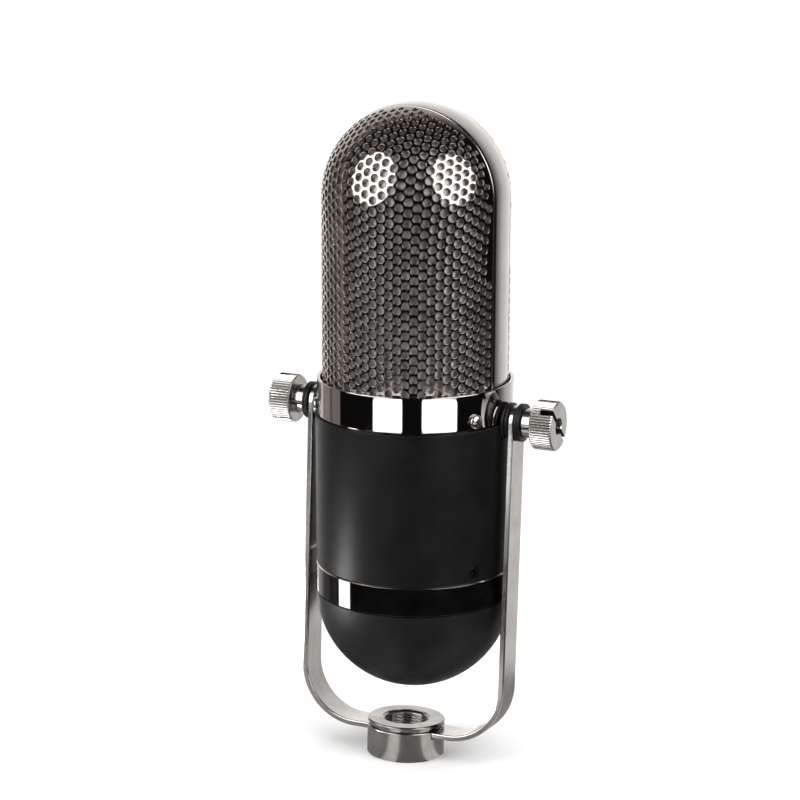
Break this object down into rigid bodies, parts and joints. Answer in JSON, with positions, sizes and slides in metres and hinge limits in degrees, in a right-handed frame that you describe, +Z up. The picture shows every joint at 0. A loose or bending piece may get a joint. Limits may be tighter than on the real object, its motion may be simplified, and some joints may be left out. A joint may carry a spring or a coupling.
{
  "type": "ribbon microphone",
  "caption": "Side-address ribbon microphone: round-topped perforated grille on a black casing, clamped by knurled knobs in a U-shaped yoke with a threaded stand hub and a rear output socket.",
  "frame": {"origin": "centre of the hub's bottom face, on the axis of the stand thread", "axes": "+Z up along the stand thread and the yoke, +X along the pivot axis to the right-hand knob, -Y to the front of the microphone"},
  "size_m": [0.1018, 0.0727, 0.2216],
  "materials": {
    "black_nickel": "dark polished nickel",
    "bright_nickel": "polished nickel",
    "hub_steel": "brushed",
    "satin_black": "satin",
    "gloss_black": "gloss",
    "matte_black": "matt",
    "rubber": "matt",
    "woven_steel": "woven",
    "soft_iron": "machined",
    "magnet": "ground",
    "aluminium": "satin",
    "brass": "satin",
    "copper_wire": "enamelled",
    "plastic": "satin"
  },
  "bodies": {
    "yoke": {"yoke": "bright_nickel", "hub_body": "hub_steel", "hub_washer": "black_nickel", "threaded_bush": "hub_steel"},
    "microphone": {"collar_ring": "black_nickel", "grille_front": "black_nickel", "grille_rear": "black_nickel", "socket_barrel": "black_nickel", "grille_arch": "bright_nickel", "ring_screw_1": "bright_nickel", "ring_screw_2": "bright_nickel", "ring_screw_3": "bright_nickel", "pivot_stud_left": "bright_nickel", "pivot_stud_right": "bright_nickel", "transformer_strap": "hub_steel", "body_shell": "satin_black", "shell_screw_1": "satin_black", "shell_screw_2": "satin_black", "shell_screw_3": "satin_black", "lower_band": "gloss_black", "bottom_cap": "matte_black", "inner_washer_left": "rubber", "inner_washer_right": "rubber", "shock_mount_left": "rubber", "shock_mount_right": "rubber", "wind_screen": "woven_steel", "motor_frame": "soft_iron", "pole_piece_left": "soft_iron", "pole_piece_right": "soft_iron", "transformer_core": "soft_iron", "magnet_left": "magnet", "magnet_right": "magnet", "ribbon": "aluminium", "motor_pedestal": "aluminium", "chassis_plate": "aluminium", "ribbon_clamp_top": "brass", "ribbon_clamp_bottom": "brass", "contact_pin_1": "brass", "contact_pin_2": "brass", "contact_pin_3": "brass", "transformer_coil": "copper_wire", "ribbon_lead_top": "copper_wire", "ribbon_lead_bottom": "copper_wire", "output_lead_left": "copper_wire", "output_lead_right": "copper_wire", "contact_insert": "plastic"},
    "washer_left": {"outer_washer_left": "rubber"},
    "washer_right": {"outer_washer_right": "rubber"},
    "knob_left": {"clamp_knob_left": "bright_nickel"},
    "knob_right": {"clamp_knob_right": "bright_nickel"}
  },
  "joints": [
    {"name": "microphone_tilt", "type": "hinge", "parent": "yoke", "child": "microphone", "pos_m": [0, 0, 0.1184], "axis": [1, 0, 0], "continuous": true},
    {"name": "washer_left_slide", "type": "slide", "parent": "microphone", "child": "washer_left", "axis": [-1, 0, 0], "range_m": [0, 0.0017]},
    {"name": "knob_left_turn", "type": "hinge", "parent": "washer_left", "child": "knob_left", "pos_m": [-0.045, 0, 0.1184], "axis": [-1, 0, 0], "range_deg": [0, 720]},
    {"name": "washer_right_slide", "type": "slide", "parent": "microphone", "child": "washer_right", "axis": [1, 0, 0], "range_m": [0, 0.0017]},
    {"name": "knob_right_turn", "type": "hinge", "parent": "washer_right", "child": "knob_right", "pos_m": [0.045, 0, 0.1184], "axis": [1, 0, 0], "range_deg": [0, 720]}
  ],
  "couplings": [
    {"joint": "washer_left_slide", "follows": "knob_left_turn", "m_per_rad": 0.00012732},
    {"joint": "washer_right_slide", "follows": "knob_right_turn", "m_per_rad": 0.00012732}
  ]
}
